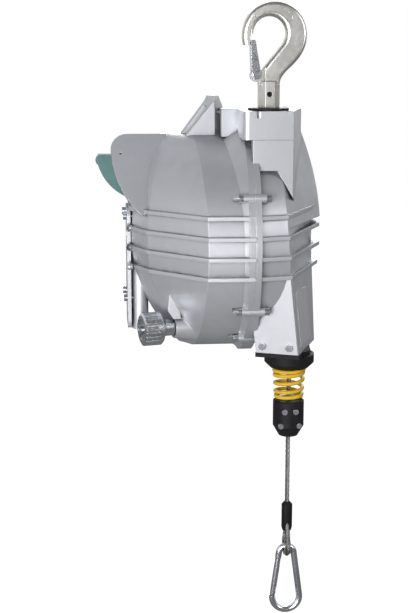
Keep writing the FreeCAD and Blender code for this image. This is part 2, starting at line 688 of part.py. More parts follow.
def swivel_parts():
    """Washer, thrust bearing, castle nut and its pin, from the top down."""
    washer = tube(V(0, 0, BLOCK_TOP + SWIVEL_GAP), OZ, WASHER_D, STEM_D + 2 * RUN, WASHER_T)
    top = BLOCK_TOP - BLOCK_ROOF
    third = BEARING_T / 3
    race = tube(V(0, 0, top - third - SWIVEL_GAP), OZ, BEARING_D, STEM_D + 2 * RUN, third)
    low = tube(V(0, 0, top - BEARING_T), OZ, BEARING_D, STEM_D + 2 * RUN, third)
    balls = []
    for i in range(12):
        a = math.radians(30 * i)
        r = (BEARING_D + STEM_D) / 4
        balls.append(Part.makeSphere(third / 2 - SWIVEL_GAP, V(r * math.cos(a), r * math.sin(a),
                                                  top - BEARING_T / 2 - SWIVEL_GAP / 2)))
    nut = hexagon(V(0, 0, top - BEARING_T - NUT_T), OZ, NUT_AF, NUT_T)
    nut = nut.cut([rod(V(0, 0, top - BEARING_T - NUT_T - 1), OZ, STEM_D, NUT_T + 2),
                   rod(V(0, -30, NUT_PIN_Z), OY, NUT_PIN_D, 60)])
    pin = rod(V(0, -NUT_AF / 2 - 1, NUT_PIN_Z), OY, NUT_PIN_D, NUT_AF + 2)
    return washer, race, low, balls, nut, pin


# Drum, shaft and mainspring

def rope_radius(x):
    return PITCH_R + DRUM_TAPER * (ROPE_X - x)


def wraps():
    count = int((DRUM_X1 - DRUM_X0 - 2 * DRUM_RIM_T - ROPE_D) / GROOVE_PITCH) + 1
    return [ROPE_X - i * GROOVE_PITCH for i in range(count)]


def rope_drum():
    """Conical drum with one groove for each turn of rope, on a webbed hub."""
    x0, x1, t = DRUM_X0, DRUM_X1, DRUM_RIM_T
    deep = ROPE_D / 2
    top = [(x0, rope_radius(x0) + DRUM_RIM), (x0 + t, rope_radius(x0) + DRUM_RIM)]
    for x in reversed(wraps()):
        r = rope_radius(x)
        top += [(x - GROOVE_PITCH / 2 + 0.4, r - deep * 0.3), (x - deep * 0.6, r - deep - 0.3),
                (x + deep * 0.6, r - deep - 0.3), (x + GROOVE_PITCH / 2 - 0.4, r - deep * 0.3)]
    top += [(x1 - t, rope_radius(x1) + DRUM_RIM), (x1, rope_radius(x1) + DRUM_RIM)]
    rim = 9.0
    under = [(x1, rope_radius(x1) - rim), (x0 + 8, rope_radius(x0 + 8) - rim),
             (x0 + 8, HUB_D / 2), (x1, HUB_D / 2), (x1, SHAFT_D / 2), (x0, SHAFT_D / 2)]
    body = spin(top + under, on_axis(0), OX)
    holes = [rod(around(60 * i, 44.0, x0 - 1), OX, 20.0, 12) for i in range(6)]
    return body.cut(holes)


def wound_rope():
    """The turns of rope in the grooves, as one closed sleeve with a ridge for each turn."""
    d = ROPE_D
    outer, inner = [], []
    for x in reversed(wraps()):
        r = rope_radius(x)
        outer += [(x - d * 0.38, r + d * 0.25), (x - d * 0.15, r + d * 0.46),
                  (x + d * 0.15, r + d * 0.46), (x + d * 0.38, r + d * 0.25),
                  (x + GROOVE_PITCH / 2, r + d * 0.04)]
        inner += [(x + GROOVE_PITCH / 2 - 0.6, r), (x - GROOVE_PITCH / 2 + 0.6, r)]
    return spin(outer[:-1] + list(reversed(sorted(inner))), on_axis(0), OX)


def spring_can():
    x0, x1, w = CAN_X0, CAN_X1, CAN_WALL
    return spin([(x0, ARBOR_D / 2 + 1), (x0, CAN_R), (x1, CAN_R), (x1, CAN_R - w),
                 (x0 + w, CAN_R - w), (x0 + w, ARBOR_D / 2 + 1)], on_axis(0), OX)


def lock_disc():
    """Disc that closes the spring can, with notches for the locking pin round its rim."""
    disc = tube(on_axis(CAN_X1), OX, 2 * DISC_R, SHAFT_D, DISC_T)
    hub = tube(on_axis(CAN_X1 + DISC_T), OX, HUB_D, SHAFT_D, DRUM_X0 - CAN_X1 - DISC_T)
    cutters = []
    for i in range(NOTCHES):
        a = LOCK_ANGLE + 360.0 / NOTCHES * i
        slot = box(CAN_X1 - 1, CAN_X1 + DISC_T + 1, -NOTCH_W / 2, NOTCH_W / 2, NOTCH_R, DISC_R + 5)
        slot.rotate(V(0, 0, 0), OX, 90 - a)
        slot.translate(V(0, AXIS_Y, AXIS_Z))
        cutters.append(slot)
    return disc.cut(cutters).fuse(hub)


def mainspring():
    """Spiral of spring strip, each turn made of two half circles."""
    y0, z0 = AXIS_Y, AXIS_Z
    x0, width = CAN_X0 + CAN_WALL + 1.5, CAN_X1 - CAN_X0 - CAN_WALL - 3

    def spiral(r):
        edges, start = [], z0 + r
        for i in range(2 * STRIP_TURNS):
            step = -1 if i % 2 == 0 else 1
            radius = r + STRIP_PITCH / 4 * (2 * i + 1)
            end = start + step * 2 * radius
            mid = V(x0, y0 - step * radius, (start + end) / 2)
            edges.append(arc(V(x0, y0, start), mid, V(x0, y0, end)))
            start = end
        return edges, start

    inner, end_in = spiral(ARBOR_D / 2 + 0.3)
    outer, end_out = spiral(ARBOR_D / 2 + 0.3 + STRIP_T)
    caps = [Part.makeLine(V(x0, y0, end_in), V(x0, y0, end_out)),
            Part.makeLine(V(x0, y0, z0 + ARBOR_D / 2 + 0.3),
                          V(x0, y0, z0 + ARBOR_D / 2 + 0.3 + STRIP_T))]
    wire = Part.Wire(Part.__sortEdges__(inner + outer + caps))
    return Part.Face(wire).extrude(V(width, 0, 0))


def arbor():
    """Sleeve round the shaft that holds the inner end of the mainspring."""
    x0, x1, x2 = END_X - 3, WHEEL_X + WHEEL_W / 2, CAN_X1 - 2
    journal = tube(on_axis(x0), OX, JOURNAL_D, SHAFT_D + 2 * RUN, x1 - x0)
    body = tube(on_axis(x1), OX, ARBOR_D, SHAFT_D + 2 * RUN, x2 - x1)
    return journal.fuse(body)


def worm_wheel():
    """Wheel on the arbor, turned by the worm. Its teeth are straight-sided."""
    x0 = WHEEL_X - WHEEL_W / 2
    pitch = 360.0 / WHEEL_TEETH
    blank = tube(on_axis(x0), OX, 2 * (WHEEL_R - 2.2 * WHEEL_M), JOURNAL_D, WHEEL_W)
    teeth = []
    for i in range(WHEEL_TEETH):
        root, tip = WHEEL_R - 2.2 * WHEEL_M - 0.6, WHEEL_R
        pts = [(-1.9, root), (-1.1, tip), (1.1, tip), (1.9, root)]
        tooth = prism([V(x0, y, z) for y, z in pts], V(WHEEL_W, 0, 0))
        tooth.rotate(V(0, 0, 0), OX, pitch * i)
        tooth.translate(V(0, AXIS_Y, AXIS_Z))
        teeth.append(tooth)
    return blank.multiFuse(teeth)


def worm():
    """Worm with a helical thread, journals and a hexagon end for a key."""
    lead = math.pi * WHEEL_M
    z = AXIS_Z + WHEEL_R - WHEEL_M + WORM_R + WORM_PLAY
    y0 = AXIS_Y - WORM_L / 2
    core = rod(V(WHEEL_X, y0, z), OY, 2 * (WORM_R - 1.1 * WHEEL_M), WORM_L)
    turns = 3
    h = lead * turns
    helix = Part.makeHelix(lead, h, WORM_R - 1.1 * WHEEL_M)
    r0, r1 = WORM_R - 1.1 * WHEEL_M - 0.5, WORM_R + 0.9 * WHEEL_M
    profile = Part.makePolygon([V(r0, 0, -1.9), V(r1, 0, -1.0), V(r1, 0, 1.0), V(r0, 0, 1.9),
                                V(r0, 0, -1.9)])
    thread = Part.Wire(helix).makePipeShell([profile], True, True)
    thread.rotate(V(0, 0, 0), OZ, WORM_START)
    thread.rotate(V(0, 0, 0), OX, -90)
    thread.translate(V(WHEEL_X, AXIS_Y - h / 2, z))
    journals = [rod(V(WHEEL_X, y0 - 8, z), OY, 12.0, WORM_L + 16),
                hexagon(V(WHEEL_X, y0 - 18, z), OY, HEX_AF, 11)]
    return core.multiFuse([thread] + journals), z


def worm_brackets(z):
    made = []
    for y in (AXIS_Y - WORM_L / 2 - 6.5, AXIS_Y + WORM_L / 2 + 0.5):
        foot = box(WHEEL_X, POCKET_X, y, y + 6, z - 8, z + 8)
        eye = rod(V(WHEEL_X, y, z), OY, 18.0, 6)
        made.append(foot.fuse(eye).cut(rod(V(WHEEL_X, y - 1, z), OY, 12.0 + 2 * RUN, 8)))
    return made


# Locking knob

def along_knob(x):
    return KNOB + knob_axis() * x


def lock_knob():
    body = spin([(0, 0), (0, KNOB_D / 2 - 3), (1.5, KNOB_D / 2), (KNOB_W, KNOB_D / 2),
                 (KNOB_W + 2, KNOB_D / 2 - 2), (KNOB_W + 4, NECK_R + 1), (KNOB_W + 6, NECK_R),
                 (KNOB_NECK, NECK_R), (KNOB_NECK, 0)], V(0, 0, 0), OX)
    flutes = [rod(V(-1, (KNOB_D / 2 + 0.7) * math.cos(math.radians(15 * i)),
                    (KNOB_D / 2 + 0.7) * math.sin(math.radians(15 * i))), OX, 3.0, KNOB_W - 4)
              for i in range(24)]
    dish = rod(V(KNOB_DISH - 2, 0, 0), OX, KNOB_DISH_D, 2)
    bore = rod(V(-1, 0, 0), OX, STUD_D + 2 * RUN, 99)
    return place_on_knob(body.cut(flutes + [dish, bore]))


def place_on_knob(shape):
    shape.rotate(V(0, 0, 0), OZ, KNOB_TOE)
    shape.translate(KNOB)
    return shape


def knob_screw():
    head = rod(V(-2.2, 0, 0), OX, 10.0, 3.0)
    slot = box(-3, -1.0, -6, 6, -0.8, 0.8)
    return place_on_knob(head.cut(slot).fuse(rod(V(0, 0, 0), OX, STUD_D, STUD_X)))


def lock_pin():
    """Plunger that the knob pulls. Its stud is inside the knob."""
    start = KNOB_NECK + KNOB_GAP
    stud = rod(V(STUD_X, 0, 0), OX, STUD_D, start + 1 - STUD_X)
    return place_on_knob(stud.fuse(rod(V(start, 0, 0), OX, PIN_D, PIN_TIP - start)))


# Shaft and its bearings

def main_shaft():
    x0 = END_X + 8
    return rod(on_axis(x0), OX, SHAFT_D, RIGHT_BEARING_X + BEARING_W - x0)


def right_bearing():
    x0 = RIGHT_BEARING_X
    r = (BEARING_OD + SHAFT_D) / 4
    track = Part.makeTorus(r, 3.6 + RUN, on_axis(x0 + BEARING_W / 2), OX)
    outer = tube(on_axis(x0), OX, BEARING_OD, BEARING_OD - 7, BEARING_W).cut(track)
    inner = tube(on_axis(x0), OX, SHAFT_D + 7, SHAFT_D, BEARING_W).cut(track)
    balls = [Part.makeSphere(3.6, around(45 * i, r, x0 + BEARING_W / 2)) for i in range(8)]
    return [outer], [inner], balls


def end_bush():
    return tube(on_axis(END_X - 1), OX, BUSH_D, JOURNAL_D + 2 * RUN, 8)


def end_cover():
    """Cover plate over the end wall, round its screws."""
    z0, z1, t = POST_Z0, POST_Z1, END_COVER_T
    plate = box(END_X - 1 - t, END_X - 1, *COVER_Y, z0, z1)
    edges = [e for e in plate.Edges if e.BoundBox.XLength > t - 0.1]
    plate = plate.makeFillet(10, edges)
    plate = plate.cut(rod(on_axis(END_X - 10), OX, JOURNAL_D + 1, 20))
    screws = []
    for y, z in COVER_SCREWS:
        p = V(END_X - 1 - t, y, z)
        plate = plate.cut(rod(p - OX, OX, 5.2, 9))
        screws.append(rod(p, -OX, 8.5, 4.0).fuse(rod(p, OX, 5.0, 8.0)))
    return plate, screws


def guard():
    """Curved inner cover behind the load adjuster."""
    z0, z1 = POCKET_Z, -150.0
    t = 3.0
    edge = [Part.makeLine(V(POCKET_X, GUARD_Y, z0), V(POCKET_X, GUARD_Y, z1)),
            Part.makeLine(V(POCKET_X, GUARD_Y, z1), V(-176, GUARD_Y, z1)),
            arc(V(-176, GUARD_Y, z1), V(-180.5, GUARD_Y, z1 - 4), V(-178, GUARD_Y, z1 - 12)),
            arc(V(-178, GUARD_Y, z1 - 12), V(-166, GUARD_Y, z1 - 34), V(-141, GUARD_Y, z0)),
            Part.makeLine(V(-141, GUARD_Y, z0), V(POCKET_X, GUARD_Y, z0))]
    body = Part.Face(Part.Wire(edge)).extrude(V(0, t, 0))
    lip = box(-178, POCKET_X, GUARD_Y, GUARD_Y + 12, z1 - t, z1)
    return body.fuse(lip)


# Load line

def guide():
    """Rope guide: a plate under the outlet box, a bell-mouthed disc and a neck inside the box."""
    z = BOX_LOW.z
    pts = [outlet_point(*q, z) for q in ((-0.5, -0.5), (BOX_W + 0.5, -0.5),
                                         (BOX_W + 0.5, GUIDE_PLATE), (-0.5, GUIDE_PLATE))]
    plate = prism(pts, V(0, 0, -GUIDE_T))
    r, b, low = GUIDE_D / 2, GUIDE_BORE / 2, GUIDE_Z - z
    disc = spin([(0, b), (low + 7, b), (low, b + 6), (low, r - 6), (low + 3, r - 3),
                 (low + 6, r), (-GUIDE_T, r), (-GUIDE_T, r - 4), (0, r - 4)], V(ROPE_X, 0, z), OZ)
    neck_part = tube(V(ROPE_X, 0, z - 1), OZ, NECK_D, GUIDE_BORE, 14)
    hole = rod(V(ROPE_X, 0, z - 8), OZ, GUIDE_BORE, 30)
    return plate.multiFuse([disc, neck_part]).cut(hole)


def buffer_spring():
    """Tapering compression spring between the guide and the clamp."""
    z0 = CLAMP_TOP + SPRING_WIRE / 2 + 0.2
    z1 = GUIDE_Z - SPRING_WIRE / 2 - 0.3
    r0, r1 = (SPRING_LOW_D - SPRING_WIRE) / 2, (SPRING_D - SPRING_WIRE) / 2
    steps = SPRING_TURNS * 12
    pts = []
    for i in range(steps + 1):
        s = i / steps
        ease = s - math.sin(2 * math.pi * s) / (2 * math.pi) * 0.55
        a = 2 * math.pi * SPRING_TURNS * s
        r = r0 + (r1 - r0) * s
        pts.append(V(ROPE_X + r * math.cos(a), r * math.sin(a), z0 + (z1 - z0) * ease))
    curve = Part.BSplineCurve()
    curve.interpolate(pts)
    path = Part.Wire(curve.toShape())
    t = curve.tangent(curve.FirstParameter)[0]
    ring = Part.Wire(Part.makeCircle(SPRING_WIRE / 2, pts[0], t))
    return path.makePipeShell([ring], True, True)


def clamp_halves():
    low = CLAMP_TOP - CLAMP_Z
    r = CLAMP_D / 2
    body = spin([(0, 0), (0, r - 1.5), (-1.5, r), (-low * 0.72, r), (-low, r - 6.5), (-low, 0)],
                V(ROPE_X, 0, CLAMP_TOP), OZ)
    body = body.cut(rod(V(ROPE_X, 0, CLAMP_Z - 5), OZ, ROPE_D, 60))
    g = CLAMP_GAP / 2
    halves = [body.common(box(-50, 100, -60, -g, CLAMP_Z - 9, CLAMP_TOP + 9)),
              body.common(box(-50, 100, g, 60, CLAMP_Z - 9, CLAMP_TOP + 9))]
    screws = []
    for dx, down in CLAMP_SCREWS:
        z = CLAMP_TOP - down
        p = V(ROPE_X + dx, 0, z)
        face = -math.sqrt(r * r - dx * dx) + 2.2
        face = max(face, -r + 3.2)
        halves[0] = halves[0].cut(rod(V(p.x, face, z), -OY, 6.6, 20))
        halves = [h.cut(rod(V(p.x, -30, z), OY, 3.6, 60)) for h in halves]
        back = math.sqrt(r * r - dx * dx) - 2.5
        screws.append(rod(V(p.x, face, z), -OY, 6.2, 2.6).fuse(
            rod(V(p.x, face, z), OY, 3.6, back - face)))
    return halves, screws


def rope(z0, z1):
    return rod(V(ROPE_X, 0, z0), OZ, ROPE_D, z1 - z0)


def eye_frame():
    """Where the rope's eye leaves its round part: the tangent point and the top point."""
    r = EYE_R + THIMBLE_T + ROPE_D / 2
    top = V(ROPE_D / 2 + 0.3, 0, SLEEVE_Z + 12)
    dy, dz = top.x, top.z - EYE_Z
    far = math.hypot(dy, dz)
    a = math.atan2(dz, dy) - math.acos(r / far)
    return r, top, a


def rope_eye(d):
    r, top, a = eye_frame()

    def at(y, z):
        return V(ROPE_X, y, z)

    ty, tz = r * math.cos(a), EYE_Z + r * math.sin(a)
    edges = [Part.makeLine(at(top.x, top.z), at(ty, tz)),
             arc(at(ty, tz), at(0, EYE_Z - r), at(-ty, tz)),
             Part.makeLine(at(-ty, tz), at(-top.x, top.z))]
    path = Part.Wire(edges)
    direction = at(ty, tz) - at(top.x, top.z)
    ring = Part.Wire(Part.makeCircle(d / 2, at(top.x, top.z), direction))
    return path.makePipeShell([ring], True, True)


def thimble():
    r = EYE_R + THIMBLE_T + ROPE_D * 0.62
    h = THIMBLE_W / 2
    x = ROPE_X - h
    outer = rod(V(x, 0, EYE_Z), OX, 2 * r, 2 * h)
    tip = prism([V(x, -r * 0.97, EYE_Z + 2.5), V(x, 0, EYE_Z - 4), V(x, r * 0.97, EYE_Z + 2.5),
                 V(x, 2.2, SLEEVE_Z), V(x, -2.2, SLEEVE_Z)], V(2 * h, 0, 0))
    inner = rod(V(x - 1, 0, EYE_Z), OX, 2 * EYE_R, 2 * h + 2)
    top = prism([V(x - 1, -EYE_R * 0.93, EYE_Z + 3.2), V(x - 1, EYE_R * 0.93, EYE_Z + 3.2),
                 V(x - 1, 0, EYE_Z + 16.0)], V(2 * h + 2, 0, 0))
    body = outer.fuse(tip).cut([inner, top, rope_eye(ROPE_D)])
    return max(body.Solids, key=lambda q: q.Volume)


def sleeve():
    r = SLEEVE_D / 2
    length = SLEEVE_TOP - SLEEVE_Z
    body = spin([(0, 0), (0, r - 2.5), (-3, r), (-length + 4, r), (-length, r - 0.9), (-length, 0)],
                V(ROPE_X, 0, SLEEVE_TOP), OZ)
    return body.cut([rod(V(ROPE_X, 0, SLEEVE_Z + 14), OZ, ROPE_D, 60), rope_eye(ROPE_D)])


def hook_frame():
    """Centres, radii and lean of the spring hook's bent wire."""
    rt = CARABINER_TOP_R
    rb = (CARABINER_W - CARABINER_D) / 2
    top = V(ROPE_X, 0, EYE_Z - EYE_R + CARABINER_D / 2 - rt + HOOK_REST)
    low = V(ROPE_X, 0, CARABINER_Z + CARABINER_D / 2 + rb)
    lean = math.asin((rb - rt) / (top.z - low.z))
    return rt, rb, top, low, lean


def off(c, r, angle):
    return V(c.x + r * math.cos(angle), 0, c.z + r * math.sin(angle))


def gate_points():
    rt, rb, top, low, lean = hook_frame()
    return off(top, rt, math.pi - lean), off(low, rb, math.pi - lean)


def spring_hook():
    """Pear-shaped spring hook of bent wire, with a nose at the top and a tongue at the hinge."""
    rt, rb, top, low, lean = hook_frame()
    d = CARABINER_D
    t0, t1 = gate_points()
    way = (t1 - t0).normalize()
    nose = t0 + way * NOSE_L
    edges = [Part.makeLine(nose, t0), arc(t0, off(top, rt, math.pi / 2), off(top, rt, lean)),
             Part.makeLine(off(top, rt, lean), off(low, rb, lean)),
             arc(off(low, rb, lean), off(low, rb, -math.pi / 2), t1)]
    ring = Part.Wire(Part.makeCircle(d / 2, nose, way))
    body = Part.Wire(edges).makePipeShell([ring], True, True)
    tip = box(-1.3, 1.3, -TONGUE / 2, TONGUE / 2, -4.0, 1.0)
    tip = tip.fuse(box(-2.4, 2.4, -TONGUE / 2, TONGUE / 2, -6.0, -4.0))
    turn = math.degrees(lean)
    tip.rotate(V(0, 0, 0), OY, turn)
    tip.translate(nose)
    tongue = box(-2.6, 2.6, -TONGUE / 2, TONGUE / 2, -1.0, 5.5)
    tongue.rotate(V(0, 0, 0), OY, turn)
    tongue.translate(t1)
    body = body.multiFuse([tip, tongue])
    return body.cut(rod(hinge_at() - OY * 10, OY, GATE_PIN_D, 20))


def hinge_at():
    t0, t1 = gate_points()
    return t1 - (t1 - t0).normalize() * 3.0


def gate():
    """Spring gate between the nose and the hinge, forked at both ends."""
    t0, t1 = gate_points()
    way = (t1 - t0).normalize()
    a = t0 + way * (NOSE_L + 0.5)
    b = t1 - way * 1.3
    body = rod(a, way, GATE_D, (b - a).Length)
    *_, lean = hook_frame()
    turn = math.degrees(lean)
    slot = box(-9, 9, -TONGUE / 2 - FORK_GAP, TONGUE / 2 + FORK_GAP, -8.0, 2.0)
    slot.rotate(V(0, 0, 0), OY, turn)
    slot.translate(a)
    fork = box(-9, 9, -TONGUE / 2 - FORK_GAP, TONGUE / 2 + FORK_GAP, -1.0, 9.0)
    fork.rotate(V(0, 0, 0), OY, turn)
    fork.translate(b)
    hole = rod(hinge_at() - OY * 10, OY, GATE_PIN_D + 2 * RUN, 20)
    return body.cut([slot, fork, hole])


def gate_pin():
    pin = hinge_at()
    return rod(pin - OY * (GATE_D / 2 - 0.2), OY, GATE_PIN_D, GATE_D - 0.4)


def data_plate():
    """Bare plate on the side of the outlet box."""
    z0, z1 = PLATE_Z
    pts = []
    for back, z in ((12, z1), (58, z1), (62, z0), (10, z0)):
        pts.append(outlet_point(0, back, z))
    n = (pts[1] - pts[0]).cross(pts[3] - pts[0]).normalize()
    n = n if n.x > 0 else n * -1
    return prism(pts, n * PLATE_T)


left = spring_casing()
right = rope_casing()
cover, cover_screws = outlet_cover(right)
washer, race_top, race_low, balls, nut, nut_pin = swivel_parts()
worm_body, worm_z = worm()
ends, end_screws = end_cover()
outer_ring, inner_ring, bearing_balls = right_bearing()
clamps, clamp_screws = clamp_halves()

save("left_casing", left)
save("right_casing", right)
save("suspension_block", suspension_block())
save("block_screws", *block_screws())
save("flange_bolts", *flange_bolts())
save("outlet_cover", cover)
save("outlet_cover_screws", *cover_screws)
save("data_plate", data_plate())
save("end_cover", ends)
save("end_cover_screws", *end_screws)
save("end_bush", end_bush())
save("adjuster_guard", guard())
save("worm_brackets", *worm_brackets(worm_z))
save("rope_guide", guide())
save("top_hook", hook())
save("hook_latch", latch())
save("latch_pin", latch_pin())
save("swivel_washer", washer)
save("thrust_race_top", race_top)
save("thrust_race_low", race_low)
save("thrust_balls", *balls)
save("swivel_nut", nut)
save("swivel_nut_pin", nut_pin)
save("rope_drum", rope_drum())
save("wound_rope", wound_rope())
save("spring_can", spring_can())
save("lock_disc", lock_disc())
save("mainspring", mainspring())
save("main_shaft", main_shaft())
save("bearing_outer_ring", *outer_ring)
save("bearing_inner_ring", *inner_ring)
save("bearing_balls", *bearing_balls)
save("spring_arbor", arbor())
save("worm_wheel", worm_wheel())
save("worm", worm_body)
save("lock_knob", lock_knob())
save("knob_screw", knob_screw())
save("lock_pin", lock_pin())
save("rope_inside", rope(GUIDE_STOP_Z, AXIS_Z - ROPE_LEAVES))
save("rope_at_guide", rope(CLAMP_TOP, GUIDE_STOP_Z))
save("rope", rope(SLEEVE_Z + 14, CLAMP_TOP))
save("rope_eye", rope_eye(ROPE_D))
save("buffer_spring", buffer_spring())
save("clamp_front", clamps[0])
save("clamp_back", clamps[1])
save("clamp_screws", *clamp_screws)
save("sleeve", sleeve())
save("thimble", thimble())
save("spring_hook", spring_hook())
save("spring_hook_gate", gate())
save("gate_pin", gate_pin())
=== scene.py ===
"""Finishes, small details, the hanging rope, light and camera for the tool balancer.

Every length is in metres, in the balancer's own frame: the saddle of its top hook is the
origin, X runs along the drum axis, minus Y is the front and Z is up.
"""

import json
import math

import bmesh
import bpy
from mathutils import Matrix, Vector


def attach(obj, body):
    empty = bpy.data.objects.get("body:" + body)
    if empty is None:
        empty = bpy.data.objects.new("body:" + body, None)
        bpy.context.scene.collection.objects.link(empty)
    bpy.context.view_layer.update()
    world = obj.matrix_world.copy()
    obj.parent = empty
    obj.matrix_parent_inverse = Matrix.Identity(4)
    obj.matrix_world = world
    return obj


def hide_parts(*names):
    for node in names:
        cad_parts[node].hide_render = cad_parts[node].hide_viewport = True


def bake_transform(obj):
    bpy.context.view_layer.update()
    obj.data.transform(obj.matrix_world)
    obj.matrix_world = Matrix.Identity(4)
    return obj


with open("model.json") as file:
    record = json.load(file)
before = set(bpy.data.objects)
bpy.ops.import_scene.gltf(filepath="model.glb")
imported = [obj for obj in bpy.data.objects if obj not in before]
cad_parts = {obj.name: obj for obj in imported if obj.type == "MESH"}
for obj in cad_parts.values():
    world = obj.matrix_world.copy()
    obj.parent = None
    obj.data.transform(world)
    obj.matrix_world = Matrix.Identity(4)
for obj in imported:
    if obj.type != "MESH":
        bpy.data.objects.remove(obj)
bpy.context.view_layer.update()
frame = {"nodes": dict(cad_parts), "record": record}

MM = 0.001
nodes = frame["nodes"]

# Camera: focal length in pixels, place in metres, angles in degrees
IMAGE_LONG_SIDE = 613.0
FOCAL_PIXELS = 1250.0
SENSOR = 36.0
CAMERA_AT = (-0.1821, -1.3091, -0.0280)
CAMERA_DOWN = 11.86
CAMERA_YAW = 5.0
NEAREST, FARTHEST = 0.05, 60.0

# Finishes
COAT_ROUGHNESS = 0.1
BEVEL_SAMPLES = 4
HOLLOW_SAMPLES = 6
CASTING_GRAIN_DEPTH = 0.06 * MM
CASTING_EDGE = 1.2 * MM
SHEET_GRAIN_DEPTH = 0.02 * MM
SHEET_EDGE = 0.4 * MM
STEEL_LINE_DEPTH = 0.006 * MM
STEEL_EDGE = 0.5 * MM
STEEL_REACH = 6.0 * MM

# Hanging rope, and the length above it that runs down from the guide to the clamp
ROPE_X = 25.5 * MM
ROPE_D = 5.0 * MM
ROPE_TOP = -409.0 * MM
ROPE_LOW = -547.0 * MM
ROPE_STEPS = 60
STRANDS = 6
LAY = 34.0 * MM
POINTS_ROUND = 36
GUIDE_STOP = -362.0 * MM
RUNNING_D = ROPE_D * 0.98
RUNNING_STEPS = 40

# Rope's eye round the thimble, with both its ends in the sleeve
EYE_Z = -579.5 * MM
EYE_R = 6.5 * MM
THIMBLE_T = 1.2 * MM
SLEEVE_LOW = -561.0 * MM
EYE_ROPE_D = ROPE_D * 0.96
EYE_LAY = LAY * 0.8
EYE_STEPS = 6
EYE_FIRST, EYE_LAST, EYE_TURN = 18, -198, -18
EYE_SPREAD = 1.015
ENDS_GAP = 0.6 * MM
ENDS_OPEN = 2.6 * MM
ENDS_UP = 11 * MM
MOUTH_UP = 2 * MM

# Dark pin in the hook's shank hole, which paints shade into the hole
PIN_AT = (-0.5 * MM, 0.0, -79.0 * MM)
PIN_R = 2.5 * MM
PIN_HALF = 7.0 * MM
PIN_SIDES = 32

# Studio: the floor lies below the end of the rope's travel
WHITE = (1, 1, 1, 1)
LIT_POINT = (0.0, 0.0, -0.26)
FLOOR_Z = -2.9
FLOOR_HALF = 20.0
FLOOR_GREY = 0.22
FLOOR_ROUGHNESS = 0.9
FLOOR_IN_METAL = 0.12
WORLD_LIGHT = 0.14
ROOM_IN_METAL = 0.12
BACK_IN_METAL = 0.7
ROOM_ENDS, BACK_STARTS = -0.1, 0.4
LAMP_DISTANCE = 2.0

# Lamps: degrees from the front towards plus X, degrees of lift, width and height, watts
LAMPS = {
    "key": (-28, 0, (1.3, 1.1), 40.0),
    "left": (-66, 4, (0.5, 1.2), 4.5),
    "right": (50, 16, (0.8, 0.9), 12.0),
    "back": (165, 25, (1.2, 0.8), 20.0),
}


# Shader groups

def new_group(name, inputs, outputs):
    """A shader group with its two end nodes. Inputs are name: (kind, value), outputs name: kind."""
    group = bpy.data.node_groups.new(name, "ShaderNodeTree")
    for label, (kind, value) in inputs.items():
        made = group.interface.new_socket(name=label, in_out="INPUT", socket_type=kind)
        made.default_value = value
    for label, kind in outputs.items():
        group.interface.new_socket(name=label, in_out="OUTPUT", socket_type=kind)
    return group, group.nodes.new("NodeGroupInput"), group.nodes.new("NodeGroupOutput")


def feed(tree, pin, value):
    """Links a node's output to the pin, or sets the pin to a number or colour."""
    if isinstance(value, bpy.types.NodeSocket):
        tree.links.new(value, pin)
    else:
        pin.default_value = value


def maths(tree, kind, a, b, clamp=False):
    """Sum, product or the like of two values."""
    node = tree.nodes.new("ShaderNodeMath")
    node.operation = kind
    node.use_clamp = clamp
    feed(tree, node.inputs[0], a)
    feed(tree, node.inputs[1], b)
    return node.outputs[0]


def ramp(tree, value, low, high, to_low=0.0, to_high=1.0):
    """Soft step that turns low into to_low and high into to_high."""
    node = tree.nodes.new("ShaderNodeMapRange")
    node.interpolation_type = "SMOOTHSTEP"
    feed(tree, node.inputs["From Min"], low)
    feed(tree, node.inputs["From Max"], high)
    feed(tree, node.inputs["To Min"], to_low)
    feed(tree, node.inputs["To Max"], to_high)
    feed(tree, node.inputs["Value"], value)
    return node.outputs["Result"]


def mix_colour(tree, share, a, b):
    """Colour b laid over colour a by a mask."""
    node = tree.nodes.new("ShaderNodeMix")
    node.data_type = "RGBA"
    pins = {pin.name: pin for pin in node.inputs if pin.enabled}
    for name, value in (("Factor", share), ("A", a), ("B", b)):
        feed(tree, pins[name], (*value, 1.0) if isinstance(value, tuple) else value)
    return [pin for pin in node.outputs if pin.enabled][0]


def object_point(tree):
    return tree.nodes.new("ShaderNodeTexCoord").outputs["Object"]


def noise(tree, point, scale, detail=3.0, rough=0.55):
    node = tree.nodes.new("ShaderNodeTexNoise")
    feed(tree, node.inputs["Vector"], point)
    feed(tree, node.inputs["Scale"], scale)
    feed(tree, node.inputs["Detail"], detail)
    feed(tree, node.inputs["Roughness"], rough)
    return node.outputs["Fac"]


def make_cast_grain():
    """Fine orange-peel grain of a coated casting, with broad unevenness under it."""
    group, start, end = new_group(
        "cast_grain",
        {"Fine": ("NodeSocketFloat", 900.0), "Broad": ("NodeSocketFloat", 28.0),
         "Broad Share": ("NodeSocketFloat", 0.5)},
        {"Height": "NodeSocketFloat", "Tone": "NodeSocketFloat"})
    point = object_point(group)
    fine = noise(group, point, start.outputs["Fine"], detail=2.0)
    broad = noise(group, point, start.outputs["Broad"])
    swell = maths(group, "MULTIPLY", broad, start.outputs["Broad Share"])
    group.links.new(maths(group, "ADD", fine, swell), end.inputs["Height"])
    group.links.new(ramp(group, broad, 0.3, 0.7), end.inputs["Tone"])
    return group


